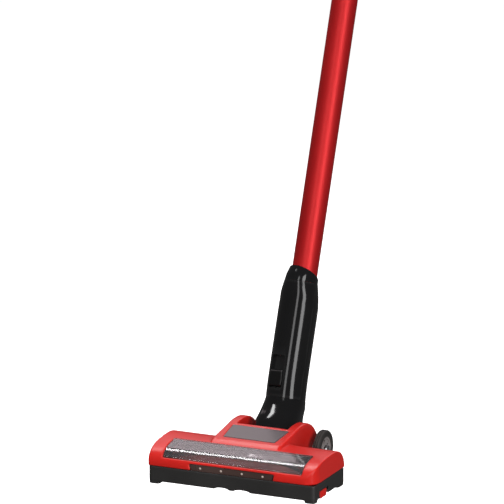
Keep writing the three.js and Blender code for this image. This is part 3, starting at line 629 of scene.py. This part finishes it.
def hub(side):
    """A wheel hub with five holes, its axle, and the small roller on the same side."""
    name = side_name(side)
    profile = [(4.3, 50.6), (7.5, 50.6), (7.5, 59), (17, 59), (17, 67), (15, 67), (14, 65.2), (7.6, 64.8),
               (6.8, 66.6), (4.3, 66.6)]
    wheel = lathe(f"hub_{name}", [(r, side * w) for r, w in profile], "x", PIVOT_Y, PIVOT_Z, HEAD, 72)
    for k in range(5):
        a = 2 * math.pi * k / 5 + 0.3
        y, z = PIVOT_Y + 10.8 * math.cos(a), PIVOT_Z + 10.8 * math.sin(a)
        carve(wheel, rod(2.9, -80, 80, "x", y, z, HEAD, 24))
    fit(rounded(wheel, 0.35, 2), f"wheel_{name}", "grey_plastic", GREY, f"wheel_hub_{name}")
    pin = [(0, 28), (3.7, 28), (4, 28.4), (4, 68.4), (6.5, 68.4), (6.5, 69.6), (5.4, 70.8), (0, 71)]
    pin = lathe(f"axle_{name}", [(r, side * w) for r, w in pin], "x", PIVOT_Y, PIVOT_Z, HEAD, 48)
    fit(rounded(pin, 0.2, 2), "head", "steel", STEEL, f"pivot_axle_{name}")
    rows = [(0, 59.3), (2, 59.3), (2, 62), (5.9, 62), (6.5, 62.8), (6.5, 69.4), (5.9, 70), (6.5, 70.6),
            (6.5, 77.2), (5.9, 78), (2, 78), (2, 80.7), (0, 80.7)]
    roller = lathe(f"roller_{name}_wheel", [(r, side * w) for r, w in rows], "x",
                   ROLLER_Y, ROLLER_Z, HEAD, 40)
    fit(rounded(roller, 0.2, 2), f"roller_{name}", "grey_plastic", GREY, f"front_roller_{name}")


def brush_latch():
    """The ridged red slider at the end of the head."""
    slider = prism("brush_latch_slider", pad(19, 40, 3, 13, 2.2), 117.4, HALF_W - 0.4, "x", HEAD)
    for k in range(4):
        ridge = pad(24 + 3.2 * k, 25.4 + 3.2 * k, 4.6, 11.4, 0.6)
        weld(slider, prism("tool", ridge, 118, HALF_W, "x", HEAD))
    fit(rounded(slider, 0.3, 2), "brush_latch", "red_plastic", RED, "brush_latch")


def sole_screws():
    """Cross-slotted screws in the underside."""
    heads = []
    for x, y in ((-112, 92), (112, 92), (-112, 50), (112, 50), (-34, 93), (34, 93)):
        screw = rod(3.1, SOLE - 0.1, SOLE + 1.2, "z", x, y, HEAD, 32)
        carve(screw, block(x - 2, x + 2, y - 0.45, y + 0.45, SOLE - 1, SOLE + 0.6, HEAD),
              block(x - 0.45, x + 0.45, y - 2, y + 2, SOLE - 1, SOLE + 0.6, HEAD))
        heads.append(screw)
    fit(rounded(joined("sole_screws", heads), 0.15, 2), "head", "steel", STEEL)


# ---- Neck and wand -----------------------------------------------------------------------------
SEAM, SPIGOT, WAND_FOOT, NECK_TOP, COLLAR_TOP = 60, 71, 98, 217.5, 240
NECK_TURN = math.radians(-20)
TURNED = NECK @ Matrix.Rotation(NECK_TURN, 4, "Z")
WAND_R, WAND_WALL, WAND_TOP = 17.5, 1, 822
GAP = 0.3  # between pieces that touch or slide


def oval(s, w, front, back, power=2.3, count=96):
    """A ring at height s, half w wide; a higher power makes it squarer."""
    def bulge(v):
        return math.copysign(abs(v) ** (2 / power), v)

    ring = []
    for k in range(count):
        a = 2 * math.pi * k / count
        y = (front + back) / 2 + (back - front) / 2 * bulge(math.sin(a))
        ring.append((w * bulge(math.cos(a)), y, s))
    return ring


def between(keys, steps):
    """Rows of numbers passed smoothly through the key rows."""
    rows = []
    for i in range(len(keys) - 1):
        before, a, b, after = (keys[max(0, min(len(keys) - 1, i + k))] for k in (-1, 0, 1, 2))
        for step in range(steps):
            t = step / steps
            rows.append([
                0.5 * (2 * q + (r - p) * t + (2 * p - 5 * q + 4 * r - u) * t * t
                       + (3 * q - p - 3 * r + u) * t**3)
                for p, q, r, u in zip(before, a, b, after)
            ])
    rows.append(list(keys[-1]))
    return rows


def elbow():
    """The foot of the neck, which tips between the yoke arms."""
    keys = [(-21.5, 34, -14, 8, 5), (-17, 35, -33, 15, 5), (-9, 35, -43, 20, 5), (2, 34.5, -46.5, 21, 4.6),
            (12, 33.4, -46.5, 20.8, 3.2), (22, 31.2, -45, 20.6, 2.6), (32, 29, -41, 21, 2.4),
            (42, 27.8, -34.5, 22.6, 2.35), (51, 27.2, -29.5, 25.2, 2.3), (SEAM - 0.2, 26.8, -27.6, 26, 2)]
    foot = loft("elbow_skin", [oval(*row) for row in between(keys, 5)], NECK)
    weld(foot, rod(22, 50, SPIGOT, "z", 0, 0, NECK, 64))
    carve(foot, rod(18.6, 2, SPIGOT + 5, "z", 0, 0, NECK, 64), block(-26, 26, -60, 4, -30, 15, NECK),
          rod(AXLE_BORE, -40, 40, "x", 0, 0, NECK, 32))
    fit(rounded(foot, 0.7, 3, 45), "elbow", "gloss_black", BLACK, "neck_elbow")


def above_collar():
    """Everything above the collar's top, which slopes down to the rear."""
    return prism("tool", [(-60, 256.4), (60, 200), (60, 300), (-60, 300)], -40, 40, "x", TURNED)


def neck_body():
    """Both halves of the neck as one, before they are parted."""
    keys = [(SEAM + 0.2, 26.8, -27.6, 26, 2), (90, 26.2, -28.2, 24.2, 2.1), (175, 26.2, -28.2, 24.2, 2.1),
            (190, 25.8, -28, 23.2, 2.1), (203, 25, -28, 20.8, 2.1), (NECK_TOP, 21.4, -27, 19, 2.1)]
    body = loft("neck_skin", [oval(*row) for row in between(keys, 6)], TURNED)
    carve(
        body,
        rod(22.3, 50, SPIGOT + 3.6, "z", 0, 0, TURNED, 64),
        rod(16, 60, WAND_FOOT - GAP, "z", 0, 0, TURNED, 64),
        rod(WAND_R + GAP, WAND_FOOT - GAP, 230, "z", 0, 0, TURNED, 64),
        prism("tool", pad(-11.6, 11.6, 72, 116, 3), -40, -22, "y", TURNED),
        prism("tool", pad(-11.6, 11.6, 74, 96.4, 3), -40, -19, "y", TURNED),
        above_collar(),
    )
    return body


def neck():
    """The elbow, the neck with its release button, and the collar."""
    elbow()
    front = carve(neck_body(), block(-40, 40, -0.1, 60, 0, 300, TURNED))
    front.name = "neck_front"
    fit(rounded(front, 0.6, 3, 45), "neck", "gloss_black", BLACK, "neck_front_shell")
    rear = carve(neck_body(), block(-40, 40, -60, 0.1, 0, 300, TURNED))
    rear.name = "neck_rear"
    fit(rounded(rear, 0.4, 2, 45), "neck", "gloss_black", BLACK, "neck_rear_shell")
    keys = [(74.6, 10, -26, -23.4, 6), (76, 10.6, -27.4, -23.4, 6), (84, 10.8, -27.7, -23.4, 6),
            (93, 10.8, -27.8, -23.4, 6), (95.6, 10.6, -26, -23.4, 6)]
    button = loft("neck_release", [oval(*row, count=48) for row in between(keys, 4)], TURNED)
    # The button's material is darker than the neck's: painted shade for its recess.
    fit(rounded(button, 0.4, 3, 45), "neck_button", "gloss_black", BUTTON_BLACK_AND_SHADE, "neck_button")
    keys = [(NECK_TOP + GAP, 21.2, -26.9, 19, 2.1), (226, 20.8, -25.2, 18.9, 2.05),
            (234, 19.8, -22, 18.9, 2), (COLLAR_TOP, 19, -20, 18.8, 2)]
    collar = loft("neck_collar_ring", [oval(*row) for row in between(keys, 6)], TURNED)
    carve(collar, rod(WAND_R + GAP, 210, 260, "z", 0, 0, TURNED, 64), above_collar())
    fit(rounded(collar, 0.8, 4, 45), "neck", "gloss_black", BLACK, "neck_collar")


def wand():
    """The thin-walled tube."""
    profile = [(WAND_R - WAND_WALL, WAND_FOOT), (WAND_R, WAND_FOOT), (WAND_R, WAND_TOP),
               (WAND_R - WAND_WALL, WAND_TOP)]
    tube = lathe("wand_tube_skin", profile, "z", 0, 0, NECK, 96)
    fit(rounded(tube, 0.3, 2), "wand", "wand_red", WAND_RED, "wand_tube")


# ---- Hand unit ---------------------------------------------------------------------------------
UNIT_HALF, BIN_Y, BIN_R, BIN_LOW, BIN_TOP, CAP_TOP = 21, -70, 44, 812, 926, 1024
HOUSING_R, HOUSING_LOW, HOUSING_TOP = 46, 928, 1004


def grown(outline, by):
    """The counter-clockwise outline moved outwards."""
    points = []
    for k, (u, v) in enumerate(outline):
        (u0, v0), (u1, v1) = outline[k - 1], outline[(k + 1) % len(outline)]
        a, b = Vector((v - v0, u0 - u)).normalized(), Vector((v1 - v, u - u1)).normalized()
        m = (a + b).normalized()
        reach = by / max(0.4, m.dot(a))
        points.append((u + m.x * reach, v + m.y * reach))
    return points


def pillow(name, outline, low, high, radius, place, axis="x", steps=6):
    """An outline swept along an axis with its two rims rounded; a negative radius flares them."""
    turns = [math.pi / 2 * k / steps for k in range(steps + 1)]
    at, reach = AXES[axis], abs(radius)
    rows = [(low + reach * (1 - math.cos(t)), radius * (math.sin(t) - 1)) for t in turns]
    rows += [(high - reach * (1 - math.cos(t)), radius * (math.sin(t) - 1)) for t in reversed(turns)]
    return loft(name, [[at(u, v, w) for u, v in grown(outline, by)] for w, by in rows], place)


def finger_gap():
    """The hole in the hand unit that the fingers go through."""
    shape = Outline(30, 894).line((66, 896)).quad((72, 896), (71, 903)).line((58, 980))
    shape.quad((56, 992), (44, 992)).line((36, 992)).quad((24, 992), (24, 978)).line((24, 902))
    return shape.quad((24, 895), (30, 894))[:-1]


SCREWS = (30, 872), (90, 884), (12, 1006), (64, 1004), (12, 915)


def body_half(side):
    """One half of the hand unit, hollow, with its screws."""
    shape = Outline(-25.6, 862.3).line((92, 862.3)).quad((104, 862.3), (102, 878)).line((82, 1000))
    shape.quad((78, CAP_TOP), (54, CAP_TOP)).line((-38, CAP_TOP), (-38, 928.3), (-25.6, 928.3))
    body = pillow("body_" + side_name(side), shape, -UNIT_HALF, UNIT_HALF, 5, NECK)
    hollow = prism("tool", [(-23, 864.9), (94, 864.9), (99.2, 873), (79.6, 998), (73, 1014), (54, 1021.4),
                            (-35, 1021.4), (-35, 930.9), (-23, 930.9)], -18.4, 18.4, "x", NECK)
    carve(hollow, prism("tool", grown(finger_gap(), 2.6), -30, 30, "x", NECK))
    carve(
        body,
        hollow,
        pillow("tool", finger_gap(), -UNIT_HALF, UNIT_HALF, -4, NECK),
        rod(HOUSING_R + GAP, 900, 1040, "z", 0, BIN_Y, NECK, 96),
        rod(16.4, 850, 880, "z", 0, 0, NECK, 64),
        block(-12.4, 12.4, -30, -18, 872, 898, NECK),
        block(-7.4, 7.4, 48, 78, 930, 968, NECK),
        rod(6.6, 1016, 1030, "z", 0, 10, NECK),
        block(*sorted((-side * 60, side * 0.12)), -60, 140, 800, 1100, NECK),
    )
    for y, s in SCREWS:
        carve(body, rod(3.4, *sorted((side * 19.6, side * 30)), "x", y, s, NECK, 32))
    fit(rounded(body, 0.35, 2, 40), "hand_unit", "red_plastic", RED, "body_" + side_name(side))
    heads = []
    for y, s in SCREWS:
        head = rod(3, *sorted((side * 19.3, side * 20.4)), "x", y, s, NECK, 32)
        slot = block(*sorted((side * 20, side * 22)), y - 2, y + 2, s - 0.4, s + 0.4, NECK)
        heads.append(carve(head, slot))
    screws = rounded(joined("body_screws_" + side_name(side), heads), 0.15, 2)
    fit(screws, "hand_unit", "steel", STEEL)


def inlet_socket():
    """The sleeve that the tube plugs into, and its release button."""
    profile = [(17.8, 769.8), (20.4, 769.8), (23.4, 776), (23.4, 792), (22.9, 794), (23.4, 796),
               (23.4, 850), (22, 862), (16, 862), (16, WAND_TOP + GAP), (17.8, WAND_TOP + GAP)]
    sleeve = lathe("inlet_sleeve", profile, "z", 0, 0, NECK)
    carve(sleeve, block(-7.4, 7.4, -30, -19.6, 782, 804, NECK))
    fit(rounded(sleeve, 0.6, 3, 30), "hand_unit", "gloss_black", BLACK, "inlet_socket")
    button = pillow("wand_release", pad(-7, 7, 783, 803, 2.5), -25.6, -22, 1, NECK, "y")
    for k in range(4):
        carve(button, block(-4, 4, -26, -25.1, 788 + 3 * k, 789.2 + 3 * k, NECK))
    fit(rounded(button, 0.2, 2), "wand_button", "red_plastic", RED, "wand_button")


def dust_bin():
    """The clear bin with its hinged floor and latch."""
    inside = BIN_R - 2.2
    profile = [(inside, BIN_LOW), (BIN_R, BIN_LOW), (BIN_R, 912), (BIN_R - 0.6, 914),
               (BIN_R - 0.6, 917), (BIN_R, 919), (BIN_R, BIN_TOP), (inside, BIN_TOP)]
    tank = lathe("bin_tank", profile, "z", 0, BIN_Y, NECK, 128)
    carve(tank, block(-12, 12, -38, -22, 873, 897, NECK))
    for side in SIDES:
        ear = block(*sorted((side * 6, side * 14)), -119, -112, BIN_LOW, 819, NECK)
        weld(tank, carve(ear, rod(1.6, -20, 20, "x", -116.4, 814.4, NECK, 24)))
    fit(rounded(tank, 0.4, 3, 40), "dust_bin", "clear_smoke", CLEAR, "dust_bin")
    profile = [(0, 805), (23, 805), (23.4, 806.2), (25.6, 806.2), (26, 805), (35, 805), (36, 805.3),
               (43, 807.6), (BIN_R, 808.4), (BIN_R, 811.7), (0, 811.7)]
    flap = lathe("bin_floor", profile, "z", 0, BIN_Y, NECK, 128)
    knuckle = rod(2.4, -5.6, 5.6, "x", -116.4, 814.4, NECK, 32)
    weld(knuckle, block(-5.6, 5.6, -118.6, -113, 808.6, 813, NECK))
    carve(knuckle, rod(1.6, -20, 20, "x", -116.4, 814.4, NECK, 24),
          rod(BIN_R + GAP, 811.8, 830, "z", 0, BIN_Y, NECK, 96))
    flap = joined("bin_floor", [rounded(flap, 0.25, 2, 30), rounded(knuckle, 0.25, 2, 30)])
    fit(flap, "bin_flap", "gloss_black", BLACK, "bin_flap")
    latch = pillow("bin_latch", pad(BIN_Y - 7, BIN_Y + 7, 806, 832, 2.5), BIN_R + GAP, 48, 1.2, NECK)
    for k in range(5):
        carve(latch, block(47.2, 49, BIN_Y - 4.5, BIN_Y + 4.5, 812 + 3 * k, 813.3 + 3 * k, NECK))
    fit(rounded(latch, 0.2, 2), "flap_latch", "red_plastic", RED, "flap_latch")


def mesh_screen():
    """A cone of sheet steel with rows of holes between two plain ends."""
    rows, around, low, high = 24, 80, 862, 917
    points, faces = [], []
    for i in range(2 * rows + 1):
        s = low + (high - low) * i / (2 * rows)
        r = 21.5 + 2 * i / (2 * rows)
        for k in range(2 * around):
            a = math.pi * k / around
            points.append((r * math.cos(a), BIN_Y + r * math.sin(a), s))
            if i < 2 * rows and (i % 2 or k % 2):
                n = (k + 1) % (2 * around)
                here, above = i * 2 * around, (i + 1) * 2 * around
                faces.append((here + k, here + n, above + n, above + k))
    sheet = mesh("screen_sheet", points, faces, NECK)
    thick = sheet.modifiers.new("thick", "SOLIDIFY")
    thick.thickness, thick.offset = 0.0009, 0
    bake(sheet)
    sheet.data.shade_smooth()
    sheet.data.set_sharp_from_angle(angle=math.radians(40))
    nose = [(0, 846), (8, 847), (16, 852.5), (21.6, 859.6), (22.2, 862), (21, 862), (15, 854), (0, 849)]
    flange = [(23.9, 916), (24.2, 919), (33.5, 926.2), (43.6, 926.3), (43.6, 927.7), (32.8, 927.7),
              (22.6, 919.4), (22.8, 916)]
    low_end = lathe("tool", nose, "z", 0, BIN_Y, NECK)
    high_end = lathe("tool", flange, "z", 0, BIN_Y, NECK)
    screen = joined("dust_screen", [sheet, rounded(low_end, 0.3, 2), rounded(high_end, 0.3, 2)])
    fit(screen, "hand_unit", "steel", STEEL, "mesh_screen")


def motor_housing():
    """The red ring round the motor, and the slotted cap on it."""
    inside, groove = HOUSING_R - 2.6, HOUSING_R - 0.6
    profile = [(inside, HOUSING_LOW), (HOUSING_R, HOUSING_LOW)]
    for low in (936, 994):
        profile += [(HOUSING_R, low), (groove, low + 0.6), (groove, low + 2.4), (HOUSING_R, low + 3)]
    profile += [(HOUSING_R, HOUSING_TOP), (inside, HOUSING_TOP)]
    ring = lathe("housing_ring", profile, "z", 0, BIN_Y, NECK, 128)
    fit(rounded(ring, 0.35, 2, 30), "hand_unit", "red_plastic", RED, "motor_housing")
    rim = HOUSING_TOP + GAP
    profile = [(0, 1019), (36, 1019), (41, rim), (HOUSING_R, rim), (HOUSING_R, 1012), (40, 1021),
               (32, CAP_TOP), (0, CAP_TOP)]
    cap = lathe("vent_cap", profile, "z", 0, BIN_Y, NECK, 128)
    count = 36
    for k in range(count):
        turn = Matrix.Translation((0, BIN_Y, 0)) @ Matrix.Rotation(2 * math.pi * (k + 0.5) / count, 4, "Z")
        carve(cap, block(22, 37, -1, 1, 1013, 1026, NECK @ turn))
    fit(rounded(cap, 0.4, 2, 30), "exhaust_cap", "gloss_black", BLACK, "exhaust_cap")


def grip():
    """The trigger, the mode button and the ribbed strip on the grip."""
    shape = Outline(54.4, 932.4).quad((59.5, 949), (54.4, 965.6)).line((67.6, 965.6), (67.6, 932.4))
    trigger = pillow("trigger", grown(shape, -0.2), -7, 7, 1.4, NECK)
    fit(rounded(trigger, 0.3, 2), "power_trigger", "gloss_black", BLACK, "power_trigger")
    top = lathe("mode_key", [(0, 1017), (6.2, 1017), (6.2, 1026.2), (5.4, 1027), (4.2, 1026.6), (0, 1026)],
                "z", 0, 10, NECK, 64)
    fit(rounded(top, 0.25, 2, 30), "mode_button", "grey_plastic", GREY, "mode_button")
    strip = prism("grip_strip", [(99.6, 896.6), (102.6, 897.4), (87, 990), (84, 989.4)], -13, 13, "x", NECK)
    for k in range(13):
        t = 0.07 + 0.86 * k / 12
        y, s = 102.6 - 15.6 * t, 897.4 + 92.6 * t
        carve(strip, rod(1, -10, 10, "x", y + 0.5, s, NECK, 16))
    fit(rounded(strip, 0.4, 3, 50), "hand_unit", "rubber", RUBBER, "grip_pad")


def battery():
    """The battery pack with its lid and release key."""
    case = pillow("battery_shell", pad(32, 100, 822, 857, 3.5), -UNIT_HALF, UNIT_HALF, 2.5, NECK)
    for k in range(7):
        for side in SIDES:
            low, high = sorted((side * 20.2, side * 23))
            carve(case, prism("tool", pad(44 + 7 * k, 47 + 7 * k, 830, 850, 1.4), low, high, "x", NECK))
    carve(case, block(-17, 17, 36, 95, 826, 860, NECK),
          prism("tool", pad(-9.8, 9.8, 835.6, 852.4, 1.5), 96.8, 104, "y", NECK))
    fit(rounded(case, 0.3, 2, 40), "battery", "dark_plastic", CHARCOAL, "battery_case")
    lid = pillow("battery_top", pad(-UNIT_HALF, UNIT_HALF, 32, 100, 4), 857.3, 862, 1, NECK, "z")
    fit(rounded(lid, 0.2, 2), "battery", "dark_plastic", CHARCOAL, "battery_lid")
    key = pillow("battery_key", pad(-9, 9, 836.4, 851.6, 2), 99, 103, 0.8, NECK, "y")
    fit(rounded(key, 0.2, 2), "battery_button", "red_plastic", RED, "battery_button")


# ---- Floor and light ---------------------------------------------------------------------------
def area_light(name, azimuth, elevation, distance, width, height, power, colour=(1, 1, 1),
               glossy=True):
    """A soft lamp that faces the head; one that isn't glossy lights it without a reflection."""
    data = bpy.data.lights.new(name, "AREA")
    data.shape, data.size, data.size_y = "RECTANGLE", width, height
    data.energy, data.color = power, colour
    light = bpy.data.objects.new(name, data)
    a, e = math.radians(azimuth), math.radians(elevation)
    away = Vector((math.sin(a) * math.cos(e), -math.cos(a) * math.cos(e), math.sin(e)))
    light.location = HEAD @ Vector((0, 110, 150)) + away * distance
    light.rotation_mode = "QUATERNION"
    light.rotation_quaternion = away.to_track_quat("Z", "Y")
    light.visible_glossy = glossy
    bpy.context.collection.objects.link(light)


def studio():
    """A pale floor, soft lamps and an even white surround."""
    # The floor lies well below the wheels, so that it doesn't hide the head in poses that lower it.
    floor_drop = 0.36
    floor_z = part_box("tyre_left")[0].z - floor_drop
    floor = mesh("studio_floor", [(-8, -8, floor_z), (8, -8, floor_z), (8, 14, floor_z), (-8, 14, floor_z)],
                 [(0, 1, 2, 3)], Matrix.Identity(4))
    pale = finish("studio_floor", (0.9, 0.9, 0.9), 0.8, mottle=0.004, depth=0.0,
                  Emission_Color=(1, 1, 1, 1), Emission_Strength=0.85)
    pale.node_tree.nodes["Principled BSDF"].inputs["Specular IOR Level"].default_value = 0.0
    floor.data.materials.append(pale)
    floor.visible_glossy = floor.visible_diffuse = False
    area_light("overhead", 248, 65, 2.4, 1.9, 0.3, 24)
    area_light("back_softbox", 204, 36, 2.6, 3.8, 1.6, 19, (1, 0.84, 0.88))
    area_light("front_fill", 5, 45, 2.6, 2.0, 2.0, 34, glossy=False)
    area_light("right_fill", 70, 20, 2.6, 2.0, 2.0, 22, glossy=False)
    area_light("rear_fill", 200, 30, 2.6, 2.0, 2.0, 14, glossy=False)
    area_light("strip_left", 11, 22, 2.4, 0.5, 2.4, 12)
    area_light("strip_right", 58, 15.5, 2.4, 0.8, 2.4, 32)
    world = bpy.data.worlds.new("studio")
    bpy.context.scene.world = world
    world.use_nodes = True
    nodes, links = world.node_tree.nodes, world.node_tree.links
    sky = nodes["Background"]
    sky.inputs["Color"].default_value = (1, 1, 1, 1)
    seen = nodes.new("ShaderNodeLightPath").outputs["Is Camera Ray"]
    strength = nodes.new("ShaderNodeMapRange")
    strength.inputs["To Min"].default_value = 0.1
    strength.inputs["To Max"].default_value = 1.0
    links.new(seen, strength.inputs["Value"])
    links.new(strength.outputs["Result"], sky.inputs["Strength"])


# ---- Build -------------------------------------------------------------------------------------
top_shell()
base_housing()
base_inside()
window()
duct_cover()
light_strip()
brush()
for side in SIDES:
    tyre(side)
    hub(side)
brush_latch()
sole_screws()
neck()
wand()
for side in SIDES:
    body_half(side)
inlet_socket()
dust_bin()
mesh_screen()
motor_housing()
grip()
battery()

CARRIED = {
    "led_board": BOARD, "chamber_liner": CHARCOAL, "air_duct": CHARCOAL, "wiper_lip": RUBBER,
    "drive_belt": RUBBER, "left_bearing": STEEL, "right_bearing": STEEL, "brush_end_cap": CHARCOAL,
    "brush_motor": STEEL, "motor_pulley": STEEL, "brush_pulley": CHARCOAL, "swivel_seal": RUBBER,
    "wand_wire_duct": CHARCOAL, "motor_filter": FOAM, "fan_impeller": CHARCOAL, "suction_motor": STEEL,
    "control_board": BOARD, "flap_pin": STEEL, "battery_cells": STEEL,
}
for node, material in CARRIED.items():
    carried = frame["nodes"][node]
    carried.data.materials.clear()
    carried.data.materials.append(material)

studio()
